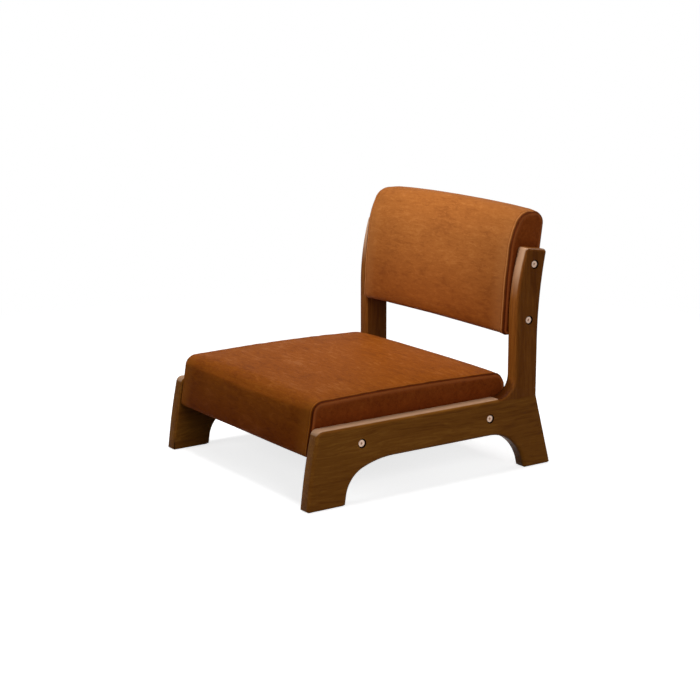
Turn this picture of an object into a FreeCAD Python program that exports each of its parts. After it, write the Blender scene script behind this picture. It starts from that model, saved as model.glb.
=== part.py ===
import FreeCAD, Part

# Floor chair: two jointed timber side frames carry an upholstered seat and backrest.
# The chair faces -Y with the floor at z = 0, and +X is the sitter's left.

import math
import os

import Sketcher

Vector = FreeCAD.Vector

# Driving dimensions in millimetres, angles in degrees. A name that ends in height is
# measured from the floor, in from_toe backwards from the front toes, in from_heel forwards
# from the rear toes, and in from_face backwards from the backrest's lower front edge.
DIMENSIONS = {
    # Side frames
    "overall_width": 480,
    "board_thickness": 25,
    "outer_edge_rounding": 6,
    "inner_edge_chamfer": 2.5,
    "base_length": 521.4,
    "front_foot_length": 76.2,
    "rear_foot_length": 61.3,
    "front_leg_setback": 22.2,
    "front_leg_bow": 3,
    "front_corner_radius": 12,
    "rear_leg_setback": 35.2,
    "kink_radius": 14,
    "rail_top_height": 134.5,
    "rail_underside_height": 70.6,
    "front_haunch_height": 47.5,
    "front_haunch_setback": 6.8,
    "front_haunch_radius": 54,
    "front_shoulder_setback": 66.7,
    "front_shoulder_radius": 170,
    "rear_arch_setback": 15.5,
    "rear_arch_radius": 78,
    "upright_depth": 49.8,
    "neck_radius": 37,
    "upright_height": 397,
    "upright_top_fall": 7,
    "front_bend_drop": 67.8,
    "front_bend_radius": 430,
    "rear_bend_drop": 92,
    "rear_bend_radius": 765,
    "upright_front_setback": 20.3,
    "upright_rear_setback": 16.6,
    "upright_corner_radius": 6,
    "upright_seat_depth": 4,
    "dowel_diameter": 10,
    "dowel_length": 50,
    "dowel_pitch": 22,
    "felt_thickness": 2,
    "felt_inset": 3.5,
    # Fixings
    "front_bolt_from_toe": 108.2,
    "rear_bolt_from_heel": 140.7,
    "seat_bolt_drop": 32.5,
    "back_bolt_setback": 27.8,
    "lower_bolt_rise": 28.5,
    "upper_bolt_drop": 31,
    "back_lean": 6.1,
    "bolt_diameter": 6,
    "bolt_length": 35,
    "head_diameter": 13,
    "head_height": 3,
    "head_chamfer": 0.7,
    "head_recess": 2,
    "socket_across": 4,
    "socket_depth": 2,
    "counterbore_diameter": 16,
    "washer_diameter": 12,
    "washer_thickness": 1.6,
    "insert_diameter": 10,
    "insert_length": 13,
    # Fits, all on the diameter or the gap
    "bolt_clearance": 0.6,
    "thread_clearance": 0.2,
    "glue_clearance": 0.2,
    "bore_end_clearance": 2,
    "panel_gap": 0.3,
    # Seat
    "leather_thickness": 1.4,
    "seat_front_low_from_toe": 15.1,
    "seat_front_top_from_toe": 30.1,
    "seat_crest_from_toe": 230,
    "seat_rear_top_from_heel": 87.9,
    "seat_rear_low_from_heel": 89.9,
    "seat_below_bolts": 17.5,
    "seat_front_thickness": 92,
    "seat_crest_thickness": 97.1,
    "seat_rear_thickness": 89.7,
    "seat_lower_radius": 7,
    "seat_front_radius": 20,
    "seat_front_easing": 5,
    "seat_rear_radius": 26,
    "seat_crown": 3,
    "seat_front_swell": 2.5,
    "seat_rear_swell": 2,
    "seat_front_padding": 11.6,
    "seat_rear_padding": 7,
    "seat_rail_height": 30,
    "seat_rail_thickness": 28,
    "seat_board_thickness": 12,
    "seat_hem": 24,
    "dust_cover_thickness": 0.8,
    "dust_cover_inset": 9,
    # Backrest
    "back_overhang": 9.7,
    "back_front_bend_from_face": 5.5,
    "back_shoulder_from_face": 15.5,
    "back_top_front_from_face": 37,
    "back_top_rear_from_face": 90.8,
    "back_rear_bend_from_face": 74,
    "back_rear_low_from_face": 68.7,
    "back_bottom_height": 239.5,
    "back_rise": 56.8,
    "back_shoulder_drop": 44.1,
    "back_front_bend_drop": 116.8,
    "back_rear_bend_drop": 121.8,
    "back_lower_radius": 10,
    "back_bend_radius": 600,
    "back_shoulder_radius": 110,
    "back_top_front_radius": 30,
    "back_top_rear_radius": 20,
    "back_crown": 7,
    "back_front_swell": 2,
    "back_rear_swell": 1.5,
    "back_bottom_draw": 5,
    "stile_depth": 28,
    "stile_width": 28,
    "stile_below_bolt": 17,
    "back_top_padding": 23.7,
    "back_rail_height": 32,
    "front_panel_thickness": 5,
    "rear_panel_thickness": 3,
}


class Size:
    """A number with the sheet expression that gives it."""

    def __init__(self, value, text):
        self.value = value
        self.text = text

    def __add__(self, other):
        return combined(self, "+", other)

    def __sub__(self, other):
        return combined(self, "-", other)

    def __mul__(self, other):
        return combined(self, "*", other)

    def __truediv__(self, other):
        return combined(self, "/", other)

    def __neg__(self):
        return Size(-self.value, f"(-{self.text})")


def sized(number):
    """Give a bare number the same form as a size from the sheet."""
    return number if isinstance(number, Size) else Size(number, f"({number})")


def combined(first, sign, second):
    """Join two sizes by one arithmetic sign."""
    a = sized(first)
    b = sized(second)
    results = {
        "+": lambda: a.value + b.value,
        "-": lambda: a.value - b.value,
        "*": lambda: a.value * b.value,
        "/": lambda: a.value / b.value,
    }
    return Size(results[sign](), f"({a.text} {sign} {b.text})")


def sine(angle):
    angle = sized(angle)
    return Size(math.sin(math.radians(angle.value)), f"sin({angle.text} * 1deg)")


def cosine(angle):
    angle = sized(angle)
    return Size(math.cos(math.radians(angle.value)), f"cos({angle.text} * 1deg)")


class SizeSheet:
    """The spreadsheet of driving dimensions, read by name."""

    def __init__(self, document, dimensions):
        sheet = document.addObject("Spreadsheet::Sheet", "sizes")
        for row, (name, value) in enumerate(dimensions.items(), start=1):
            sheet.set(f"A{row}", name.replace("_", " "))
            sheet.set(f"B{row}", str(value))
            sheet.setAlias(f"B{row}", name)
        document.recompute()
        for name in dimensions:
            setattr(self, name, Size(float(getattr(sheet, name)), f"sizes.{name}"))


doc = FreeCAD.newDocument("floor_chair")
S = SizeSheet(doc, DIMENSIONS)
ZERO = Size(0.0, "0")
TOUCHING = 1e-6
SIDES = {"left": 1, "right": -1}

# Places that several pieces share
FRONT = -S.base_length / 2
REAR = S.base_length / 2
INNER_FACE = S.overall_width / 2 - S.board_thickness
UPRIGHT_REAR = REAR - S.rear_leg_setback
UPRIGHT_FRONT = UPRIGHT_REAR - S.upright_depth
SEAM_HEIGHT = S.rail_top_height - S.upright_seat_depth
FRONT_BOW_RADIUS = S.rail_top_height * S.rail_top_height / (S.front_leg_bow * 6)
PANEL_OUTER = INNER_FACE - S.panel_gap
COVER_END = PANEL_OUTER - S.leather_thickness
RAIL_OUTER = COVER_END - S.panel_gap
COUNTERBORE_DEPTH = S.head_recess + S.head_height + S.washer_thickness
HEAD_SEAT = S.overall_width / 2 - S.head_recess - S.head_height
BORE_DEPTH = S.bolt_length - (HEAD_SEAT - RAIL_OUTER) + S.bore_end_clearance
SEAT_BOLT_HEIGHT = S.rail_top_height - S.seat_bolt_drop
SEAT_BOLTS = [
    (FRONT + S.front_bolt_from_toe, SEAT_BOLT_HEIGHT),
    (REAR - S.rear_bolt_from_heel, SEAT_BOLT_HEIGHT),
]
SEAT_FRONT = FRONT + S.seat_front_low_from_toe
SEAT_REAR = REAR - S.seat_rear_low_from_heel
SEAT_BOTTOM = SEAT_BOLT_HEIGHT - S.seat_below_bolts
SEAT_FRAME_FRONT = SEAT_FRONT + S.seat_front_padding
SEAT_FRAME_REAR = SEAT_REAR - S.seat_rear_padding
SEAT_FRAME_BOTTOM = SEAT_BOTTOM + S.leather_thickness
SEAT_BOARD_BOTTOM = SEAT_FRAME_BOTTOM + S.seat_rail_height
BACK_FACE = UPRIGHT_FRONT - S.back_overhang
BACK_TOP = S.upright_height + S.back_rise
LOWER_BACK_BOLT = (UPRIGHT_FRONT + S.back_bolt_setback, S.back_bottom_height + S.lower_bolt_rise)
BACK_BOLT_PITCH = (S.upright_height - S.upper_bolt_drop - LOWER_BACK_BOLT[1]) / cosine(S.back_lean)
UPPER_BACK_BOLT = (
    LOWER_BACK_BOLT[0] + BACK_BOLT_PITCH * sine(S.back_lean),
    LOWER_BACK_BOLT[1] + BACK_BOLT_PITCH * cosine(S.back_lean),
)
BACK_BOLTS = [LOWER_BACK_BOLT, UPPER_BACK_BOLT]
STILE_ABOVE_BOLT = (BACK_TOP - S.back_top_padding - LOWER_BACK_BOLT[1]) / cosine(S.back_lean)
STILE_LENGTH = S.stile_below_bolt + STILE_ABOVE_BOLT


def bind(thing, path, size):
    """Set one size or coordinate of an object from the sheet."""
    thing.setExpression(path, sized(size).text)


def place(thing, x, y, z):
    """Put an object's origin at a point worked out from the sheet."""
    for axis, size in zip("xyz", (x, y, z)):
        bind(thing, f"Placement.Base.{axis}", size)


def new_body(name):
    return doc.addObject("PartDesign::Body", name)


def new_sketch(body, role, name, lift=None):
    """Attach a sketch to one of the body's own origin planes, raised by lift."""
    sketch = body.newObject("Sketcher::SketchObject", f"{body.Name}_{name}")
    plane = next(item for item in body.Origin.OriginFeatures if item.Role == role)
    sketch.AttachmentSupport = [(plane, "")]
    sketch.MapMode = "FlatFace"
    if lift is not None:
        bind(sketch, "AttachmentOffset.Base.z", lift)
    return sketch


def constrain(sketch, kind, *where, size=None):
    """Add one constraint, tied to the sheet where it carries a size."""
    if size is None:
        return sketch.addConstraint(Sketcher.Constraint(kind, *where))
    index = sketch.addConstraint(Sketcher.Constraint(kind, *where, size.value))
    bind(sketch, f"Constraints[{index}]", size)
    return index


def pin_point(sketch, geometry, point, across, up):
    """Fix a sketch point by its two distances from the sketch origin."""
    constrain(sketch, "DistanceX", -1, 1, geometry, point, size=across)
    constrain(sketch, "DistanceY", -1, 1, geometry, point, size=up)


def corner_arcs(corners):
    """Find where each corner's arc starts and ends, from (across, up, radius) numbers."""
    arcs = []
    for index, (across, up, radius) in enumerate(corners):
        here = Vector(across, up, 0)
        last = corners[index - 1]
        following = corners[(index + 1) % len(corners)]
        back = (Vector(last[0], last[1], 0) - here).normalize()
        ahead = (Vector(following[0], following[1], 0) - here).normalize()
        half_turn = (math.pi - back.getAngle(ahead)) / 2
        reach = radius * math.tan(half_turn)
        inward = (back + ahead).normalize()
        centre = here + inward * (radius / math.cos(half_turn))
        arcs.append({
            "entry": here + back * reach,
            "leave": here + ahead * reach,
            "centre": centre,
            "middle": centre - inward * radius,
            "radius": radius,
            "left_turn": back.cross(ahead).z < 0,
        })
    return arcs


def draw_outline(sketch, corners):
    """Draw a closed outline of straight runs with tangent arcs at its rounded corners."""
    arcs = corner_arcs([(across.value, up.value, radius.value) for across, up, radius in corners])
    count = len(corners)
    runs = []
    for index in range(count):
        start = arcs[index]["leave"]
        end = arcs[(index + 1) % count]["entry"]
        runs.append(sketch.addGeometry(Part.LineSegment(start, end)))
    for index, (across, up, radius) in enumerate(corners):
        arc = arcs[index]
        before = runs[index - 1]
        after = runs[index]
        if radius.value == 0:
            constrain(sketch, "Coincident", before, 2, after, 1)
            pin_point(sketch, after, 1, across, up)
            continue
        circle = Part.Circle(arc["centre"], Vector(0, 0, 1), arc["radius"])
        ends = [arc["entry"], arc["leave"]] if arc["left_turn"] else [arc["leave"], arc["entry"]]
        angles = [math.atan2(end.y - arc["centre"].y, end.x - arc["centre"].x) for end in ends]
        curve = sketch.addGeometry(Part.ArcOfCircle(circle, *angles))
        entry_end, leave_end = (1, 2) if arc["left_turn"] else (2, 1)
        constrain(sketch, "Tangent", before, 2, curve, entry_end)
        constrain(sketch, "Tangent", curve, leave_end, after, 1)
        constrain(sketch, "Radius", curve, size=radius)
        corner = sketch.addGeometry(Part.Point(Vector(across.value, up.value, 0)), True)
        constrain(sketch, "PointOnObject", corner, 1, before)
        constrain(sketch, "PointOnObject", corner, 1, after)
        pin_point(sketch, corner, 1, across, up)


def draw_rectangle(sketch, low_across, low_up, high_across, high_up):
    """Draw a rectangle between two opposite corners."""
    draw_outline(sketch, [
        (sized(low_across), sized(low_up), ZERO),
        (sized(high_across), sized(low_up), ZERO),
        (sized(high_across), sized(high_up), ZERO),
        (sized(low_across), sized(high_up), ZERO),
    ])


def draw_circles(sketch, places, diameter):
    """Draw equal circles about the given places."""
    for across, up in places:
        centre = Vector(across.value, up.value, 0)
        circle = sketch.addGeometry(Part.Circle(centre, Vector(0, 0, 1), diameter.value / 2))
        pin_point(sketch, circle, 3, across, up)
        constrain(sketch, "Diameter", circle, size=diameter)


def add_pad(body, sketch, length):
    pad = body.newObject("PartDesign::Pad", f"{sketch.Name}_pad")
    pad.Profile = sketch
    bind(pad, "Length", length)
    return pad


def padded_body(name, role, draw, length):
    """Make a body by padding one sketch, drawn by a function that is given the sketch."""
    body = new_body(name)
    sketch = new_sketch(body, role, "outline")
    draw(sketch)
    add_pad(body, sketch, length)
    doc.recompute()
    return body


def cut_bores(body, name, side, face, places, diameter, depth):
    """Pocket round bores into the outer face of a body that is padded along X."""
    outward = SIDES[side] > 0
    before = body.Shape.Volume
    sketch = new_sketch(body, "YZ_Plane", name, lift=face if outward else None)
    draw_circles(sketch, places, diameter)
    pocket = body.newObject("PartDesign::Pocket", f"{sketch.Name}_pocket")
    pocket.Profile = sketch
    pocket.Reversed = not outward
    bind(pocket, "Length", depth)
    doc.recompute()
    if body.Shape.Volume >= before:
        raise RuntimeError(f"{pocket.Name} cut nothing")


def boolean(kind, name, base, tool):
    """Cut or intersect two objects of the document."""
    result = doc.addObject(f"Part::{kind}", name)
    result.Base = base
    result.Tool = tool
    return result


def group(name, members):
    """Hold separate solids of one kind under one name."""
    result = doc.addObject("Part::Compound", name)
    result.Links = members
    return result


def soft_piece(name, shape):
    """Hold a lofted or sheet form, drawn in the chair's own frame."""
    piece = doc.addObject("Part::Feature", name)
    piece.Shape = shape
    piece.Placement = FreeCAD.Placement()
    return piece


# Side frames

def side_outline():
    """List the corners of one side frame, from the front toe round by the top."""
    front_foot_end = FRONT + S.front_foot_length
    rear_foot_start = REAR - S.rear_foot_length
    leg_front = FRONT + S.front_leg_setback
    return [
        (FRONT, S.felt_thickness, ZERO),
        (front_foot_end, S.felt_thickness, ZERO),
        (front_foot_end + S.front_haunch_setback, S.front_haunch_height, S.front_haunch_radius),
        (front_foot_end + S.front_shoulder_setback, S.rail_underside_height,
         S.front_shoulder_radius),
        (rear_foot_start - S.rear_arch_setback, S.rail_underside_height, S.rear_arch_radius),
        (rear_foot_start, S.felt_thickness, ZERO),
        (REAR, S.felt_thickness, ZERO),
        (UPRIGHT_REAR, SEAM_HEIGHT, S.kink_radius),
        (UPRIGHT_REAR, S.upright_height - S.rear_bend_drop, S.rear_bend_radius),
        (UPRIGHT_REAR + S.upright_rear_setback, S.upright_height - S.upright_top_fall,
         S.upright_corner_radius),
        (UPRIGHT_FRONT + S.upright_front_setback, S.upright_height, S.upright_corner_radius),
        (UPRIGHT_FRONT, S.upright_height - S.front_bend_drop, S.front_bend_radius),
        (UPRIGHT_FRONT, S.rail_top_height, S.neck_radius),
        (leg_front, S.rail_top_height, S.front_corner_radius),
        ((FRONT + leg_front) / 2 - S.front_leg_bow, S.rail_top_height / 2, FRONT_BOW_RADIUS),
    ]


def ease_edges(body, kind, x, path, size):
    """Round or chamfer the outline's edges in the face at x, apart from those on the feet."""
    floor_line = S.felt_thickness.value
    rim = []
    for number, edge in enumerate(body.Shape.Edges, start=1):
        ends = [vertex.Point for vertex in edge.Vertexes]
        in_face = all(abs(end.x - x) < TOUCHING for end in ends)
        under_foot = all(abs(end.z - floor_line) < TOUCHING for end in ends)
        if in_face and not under_foot:
            rim.append(f"Edge{number}")
    carrier = body.Tip
    eased = body.newObject(f"PartDesign::{kind}", f"{body.Name}_{kind.lower()}")
    eased.Base = (carrier, rim)
    bind(eased, path, size)
    doc.recompute()


def side_blank(side):
    """Make one side frame in one piece, with its edges eased and its bolt holes drilled."""
    body = padded_body(
        f"{side}_blank", "YZ_Plane",
        lambda sketch: draw_outline(sketch, side_outline()), S.board_thickness)
    faces = [S.board_thickness.value, 0]
    outer, inner = faces if SIDES[side] > 0 else reversed(faces)
    ease_edges(body, "Fillet", outer, "Radius", S.outer_edge_rounding)
    ease_edges(body, "Chamfer", inner, "Size", S.inner_edge_chamfer)
    holes = S.bolt_diameter + S.bolt_clearance
    places = SEAT_BOLTS + BACK_BOLTS
    cut_bores(body, "counterbores", side, S.board_thickness, places,
              S.counterbore_diameter, COUNTERBORE_DEPTH)
    cut_bores(body, "holes", side, S.board_thickness, places, holes, S.board_thickness)
    start = INNER_FACE if SIDES[side] > 0 else -S.overall_width / 2
    place(body, start, ZERO, ZERO)
    return body


def dowel(name, side, number, diameter, length):
    """Stand one round rod across the seam between the base board and the upright."""
    rod = doc.addObject("Part::Cylinder", name)
    middle = UPRIGHT_REAR - S.upright_depth / 2
    shift = S.dowel_pitch * (number - 0.5)
    centre = (INNER_FACE + S.board_thickness / 2) * SIDES[side]
    bind(rod, "Radius", diameter / 2)
    bind(rod, "Height", length)
    place(rod, centre, middle + shift, SEAM_HEIGHT - length / 2)
    return rod


def side_frame(side):
    """Split the blank at its seam into base board and upright, joined by two dowels."""
    blank = side_blank(side)
    block = doc.addObject("Part::Box", f"{side}_upright_space")
    neck_toe = UPRIGHT_FRONT - S.neck_radius
    bind(block, "Length", S.board_thickness * 2)
    bind(block, "Width", S.base_length)
    bind(block, "Height", S.upright_height)
    middle = (INNER_FACE + S.board_thickness / 2) * SIDES[side]
    place(block, middle - S.board_thickness, neck_toe, SEAM_HEIGHT)
    hole_size = S.dowel_diameter + S.glue_clearance
    hole_length = S.dowel_length + S.bore_end_clearance
    holes = group(f"{side}_dowel_holes", [
        dowel(f"{side}_dowel_hole_{number}", side, number, hole_size, hole_length)
        for number in range(2)
    ])
    base = boolean("Cut", f"{side}_base_cut", blank, block)
    upright = boolean("Common", f"{side}_upright_cut", blank, block)
    dowels = group(f"{side}_dowels", [
        dowel(f"{side}_dowel_{number}", side, number, S.dowel_diameter, S.dowel_length)
        for number in range(2)
    ])
    return [
        boolean("Cut", f"{side}_base_board", base, holes),
        boolean("Cut", f"{side}_upright", upright, holes),
        dowels,
    ]


def foot_pad(name, side, start, length):
    """Lay a thin felt pad under one foot, set in from its outline."""
    across = S.board_thickness - S.felt_inset * 2
    pad = padded_body(
        name, "XY_Plane",
        lambda sketch: draw_rectangle(sketch, ZERO, ZERO, across, length - S.felt_inset * 2),
        S.felt_thickness)
    inner = (INNER_FACE if SIDES[side] > 0 else -S.overall_width / 2) + S.felt_inset
    place(pad, inner, start + S.felt_inset, ZERO)
    return pad


def foot_pads(side):
    rear_start = REAR - S.rear_foot_length
    return [
        foot_pad(f"{side}_front_foot_pad", side, FRONT, S.front_foot_length),
        foot_pad(f"{side}_rear_foot_pad", side, rear_start, S.rear_foot_length),
    ]


# Fixings

def bolt(name):
    """Turn a socket-head bolt about X, its head's seat at the origin and its head outward."""
    body = new_body(name)
    profile = new_sketch(body, "XY_Plane", "profile")
    shank = S.bolt_diameter / 2
    head = S.head_diameter / 2
    draw_outline(profile, [
        (-S.bolt_length, ZERO, ZERO),
        (S.head_height, ZERO, ZERO),
        (S.head_height, head - S.head_chamfer, ZERO),
        (S.head_height - S.head_chamfer, head, ZERO),
        (ZERO, head, ZERO),
        (ZERO, shank, ZERO),
        (-S.bolt_length, shank, ZERO),
    ])
    turned = body.newObject("PartDesign::Revolution", f"{name}_turned")
    turned.Profile = profile
    turned.ReferenceAxis = (profile, ["H_Axis"])
    turned.Angle = 360
    doc.recompute()
    before = body.Shape.Volume
    socket = new_sketch(body, "YZ_Plane", "socket", lift=S.head_height)
    point = S.socket_across / (cosine(30) * 2)
    draw_outline(socket, [
        (point * cosine(60 * step), point * sine(60 * step), ZERO) for step in range(6)
    ])
    pocket = body.newObject("PartDesign::Pocket", f"{name}_socket_pocket")
    pocket.Profile = socket
    bind(pocket, "Length", S.socket_depth)
    doc.recompute()
    if body.Shape.Volume >= before:
        raise RuntimeError(f"{name} has no socket")
    return body


def ring(name, outer, bore, length):
    """Pad a round sleeve or washer along X from the origin."""
    def draw(sketch):
        draw_circles(sketch, [(ZERO, ZERO)], outer)
        draw_circles(sketch, [(ZERO, ZERO)], bore)
    return padded_body(name, "YZ_Plane", draw, length)


def set_fixing(body, side, along, spot):
    """Turn a fixing to face out of its side and put it on its bolt's axis."""
    turn = 0 if SIDES[side] > 0 else 180
    body.Placement = FreeCAD.Placement(Vector(), FreeCAD.Rotation(Vector(0, 0, 1), turn))
    place(body, along * SIDES[side], spot[0], spot[1])
    return body


def fixings(side, part, spots):
    """Make the bolts, washers and threaded inserts that hold one end of a cushion."""
    makers = {
        "bolts": (HEAD_SEAT, bolt),
        "washers": (HEAD_SEAT - S.washer_thickness, lambda name: ring(
            name, S.washer_diameter, S.bolt_diameter + S.bolt_clearance, S.washer_thickness)),
        "inserts": (RAIL_OUTER - S.insert_length, lambda name: ring(
            name, S.insert_diameter, S.bolt_diameter + S.thread_clearance, S.insert_length)),
    }
    return [
        group(f"{side}_{part}_{kind}", [
            set_fixing(make(f"{side}_{part}_{kind}_{number}"), side, along, spot)
            for number, spot in enumerate(spots)
        ])
        for kind, (along, make) in makers.items()
    ]


# Cushions

def cushion_wire(corners, x, inset):
    """Draw a cushion's cross-section at x, shrunk all round by inset."""
    inner = []
    for index, (y, z, radius) in enumerate(corners):
        here = Vector(y, z, 0)
        last = corners[index - 1]
        following = corners[(index + 1) % len(corners)]
        before = (here - Vector(last[0], last[1], 0)).normalize()
        after = (Vector(following[0], following[1], 0) - here).normalize()
        left_of_before = Vector(-before.y, before.x, 0)
        left_of_after = Vector(-after.y, after.x, 0)
        share = inset / (1 + left_of_before.dot(left_of_after))
        moved = here + (left_of_before + left_of_after) * share
        tighter = inset if before.cross(after).z > 0 else -inset
        inner.append((moved.x, moved.y, radius - tighter))
    arcs = corner_arcs(inner)
    edges = []
    for index, arc in enumerate(arcs):
        entry, middle, leave = [
            Vector(x, point.x, point.y) for point in (arc["entry"], arc["middle"], arc["leave"])
        ]
        start = arcs[(index + 1) % len(arcs)]["entry"]
        edges.append(Part.Arc(entry, middle, leave).toShape())
        edges.append(Part.LineSegment(leave, Vector(x, start.x, start.y)).toShape())
    return Part.Wire(edges)


# Share of the full crown at each share of the half width, seam last
CROWN_STATIONS = [(0, 1), (0.4, 0.94), (0.7, 0.76), (0.9, 0.45), (1, 0)]


def cushion_solid(section, inset=0):
    """Loft a cushion from seam to seam through crowned cross-sections."""
    half = COVER_END.value
    right = [(-place * half, share) for place, share in reversed(CROWN_STATIONS)]
    left = [(place * half, share) for place, share in CROWN_STATIONS[1:]]
    wires = [cushion_wire(section(share), x, inset) for x, share in right + left]
    return Part.makeLoft(wires, True, True)


# Share of the crest's shorter side that its arc takes up
CREST_SHARE = 0.77


def seat_crest_radius():
    """Find the radius of the long arc over the seat's crest."""
    crest = Vector(FRONT.value + S.seat_crest_from_toe.value, S.seat_crest_thickness.value, 0)
    front = Vector(FRONT.value + S.seat_front_top_from_toe.value, S.seat_front_thickness.value, 0)
    rear = Vector(REAR.value - S.seat_rear_top_from_heel.value, S.seat_rear_thickness.value, 0)
    ahead = front - crest
    back = rear - crest
    half_turn = (math.pi - back.getAngle(ahead)) / 2
    return CREST_SHARE * min(back.Length, ahead.Length) / math.tan(half_turn)


def seat_section(share):
    """List the corners of the seat's cross-section for a share of its full crown."""
    front = FRONT.value
    rear = REAR.value + S.seat_rear_swell.value * share
    swell = S.seat_front_swell.value * share
    bottom = SEAT_BOTTOM.value
    top = bottom + S.seat_crown.value * share
    return [
        (SEAT_FRONT.value - swell, bottom, S.seat_lower_radius.value),
        (rear - S.seat_rear_low_from_heel.value, bottom, S.seat_lower_radius.value),
        (rear - S.seat_rear_top_from_heel.value, top + S.seat_rear_thickness.value,
         S.seat_rear_radius.value),
        (front + S.seat_crest_from_toe.value, top + S.seat_crest_thickness.value,
         seat_crest_radius()),
        (front + S.seat_front_top_from_toe.value - swell, top + S.seat_front_thickness.value,
         S.seat_front_radius.value + S.seat_front_easing.value * share),
    ]


def back_section(share):
    """List the corners of the backrest's cross-section for a share of its full crown."""
    front = BACK_FACE.value - S.back_front_swell.value * share
    rear = BACK_FACE.value + S.back_rear_swell.value * share
    crown = S.back_crown.value * share
    bottom = S.back_bottom_height.value + S.back_bottom_draw.value * share
    seam_top = BACK_TOP.value
    top = seam_top + crown
    return [
        (front, bottom, S.back_lower_radius.value),
        (rear + S.back_rear_low_from_face.value, bottom, S.back_lower_radius.value),
        (rear + S.back_rear_bend_from_face.value, seam_top - S.back_rear_bend_drop.value,
         S.back_bend_radius.value),
        (rear + S.back_top_rear_from_face.value, top, S.back_top_rear_radius.value),
        (front + S.back_top_front_from_face.value, top, S.back_top_front_radius.value),
        (front + S.back_shoulder_from_face.value,
         seam_top - S.back_shoulder_drop.value + crown / 2, S.back_shoulder_radius.value),
        (front + S.back_front_bend_from_face.value, seam_top - S.back_front_bend_drop.value,
         S.back_bend_radius.value),
    ]


def cover_shell(section):
    """Wrap the cushion's front, top, rear and underside in one strip of leather."""
    return cushion_solid(section).cut(cushion_solid(section, S.leather_thickness.value))


def side_panel(name, section, side, bolts):
    """Close one end of a cover with a flat panel that the bolts pass through."""
    sign = SIDES[side]
    wire = cushion_wire(section(0), COVER_END.value * sign, 0)
    panel = Part.Face(wire).extrude(Vector(S.leather_thickness.value * sign, 0, 0))
    hole = (S.bolt_diameter.value + S.bolt_clearance.value) / 2
    for y, z in bolts:
        start = Vector(INNER_FACE.value * sign, y.value, z.value)
        reach = S.board_thickness.value
        panel = panel.cut(Part.makeCylinder(hole, reach, start, Vector(-sign, 0, 0)))
    return soft_piece(name, panel)


# Seat

def seat_side_rail(side):
    """Make a side rail of the seat frame, bored for its two threaded inserts."""
    rail = padded_body(
        f"seat_{side}_rail", "YZ_Plane",
        lambda sketch: draw_rectangle(
            sketch, SEAT_FRAME_FRONT, SEAT_FRAME_BOTTOM, SEAT_FRAME_REAR, SEAT_BOARD_BOTTOM),
        S.seat_rail_thickness)
    bore_fixings(rail, side, S.seat_rail_thickness, SEAT_BOLTS)
    start = RAIL_OUTER - S.seat_rail_thickness if SIDES[side] > 0 else -RAIL_OUTER
    place(rail, start, ZERO, ZERO)
    return rail


def bore_fixings(body, side, thickness, spots):
    """Bore an outer face for threaded inserts and for the bolt tips behind them."""
    cut_bores(body, "insert_bores", side, thickness, spots,
              S.insert_diameter + S.glue_clearance, S.insert_length)
    cut_bores(body, "tip_bores", side, thickness, spots,
              S.bolt_diameter + S.bolt_clearance, BORE_DEPTH)


def cross_bar(name, low, high, bottom, top, half_width):
    """Make a straight bar or sheet that runs across the chair, centred on x = 0."""
    bar = padded_body(
        name, "YZ_Plane",
        lambda sketch: draw_rectangle(sketch, low, bottom, high, top), half_width * 2)
    place(bar, -half_width, ZERO, ZERO)
    return bar


def seat_foam():
    """Fill the seat cover above and around its timber frame."""
    depth = SEAT_FRAME_REAR.value - SEAT_FRAME_FRONT.value
    top = SEAT_BOARD_BOTTOM.value + S.seat_board_thickness.value
    width = S.overall_width.value
    space = Part.makeBox(width, depth, top, Vector(-width / 2, SEAT_FRAME_FRONT.value, 0))
    inner = cushion_solid(seat_section, S.leather_thickness.value)
    return soft_piece("seat_foam", inner.cut(space))


def seat_cover():
    """Wrap the seat, leaving its underside open inside a stapled hem."""
    hem = S.seat_hem.value
    low = Vector(-COVER_END.value + hem, SEAT_FRONT.value + hem, 0)
    width = 2 * (COVER_END.value - hem)
    depth = SEAT_REAR.value - SEAT_FRONT.value - 2 * hem
    height = SEAT_BOTTOM.value + 2 * S.leather_thickness.value
    mouth = Part.makeBox(width, depth, height, low)
    return soft_piece("seat_cover", cover_shell(seat_section).cut(mouth))


def seat():
    rail_span = RAIL_OUTER - S.seat_rail_thickness
    inset = S.dust_cover_inset
    return [
        seat_cover(),
        side_panel("seat_left_side_panel", seat_section, "left", SEAT_BOLTS),
        side_panel("seat_right_side_panel", seat_section, "right", SEAT_BOLTS),
        seat_foam(),
        cross_bar("seat_board", SEAT_FRAME_FRONT, SEAT_FRAME_REAR, SEAT_BOARD_BOTTOM,
                  SEAT_BOARD_BOTTOM + S.seat_board_thickness, RAIL_OUTER),
        cross_bar("seat_front_rail", SEAT_FRAME_FRONT, SEAT_FRAME_FRONT + S.seat_rail_thickness,
                  SEAT_FRAME_BOTTOM, SEAT_BOARD_BOTTOM, rail_span),
        cross_bar("seat_rear_rail", SEAT_FRAME_REAR - S.seat_rail_thickness, SEAT_FRAME_REAR,
                  SEAT_FRAME_BOTTOM, SEAT_BOARD_BOTTOM, rail_span),
        seat_side_rail("left"),
        seat_side_rail("right"),
        cross_bar("seat_dust_cover", SEAT_FRONT + inset, SEAT_REAR - inset,
                  SEAT_BOTTOM - S.dust_cover_thickness, SEAT_BOTTOM, COVER_END - inset),
    ]


# Backrest, whose frame is drawn upright about its lower bolts and leaned back into place

def lean(body, x):
    """Lean a piece of the back frame about the axis of its lower bolts."""
    turn = FreeCAD.Rotation(Vector(1, 0, 0), -S.back_lean.value)
    body.Placement = FreeCAD.Placement(Vector(), turn)
    bind(body, "Placement.Rotation.Angle", -S.back_lean)
    place(body, x, *LOWER_BACK_BOLT)
    return body


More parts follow.
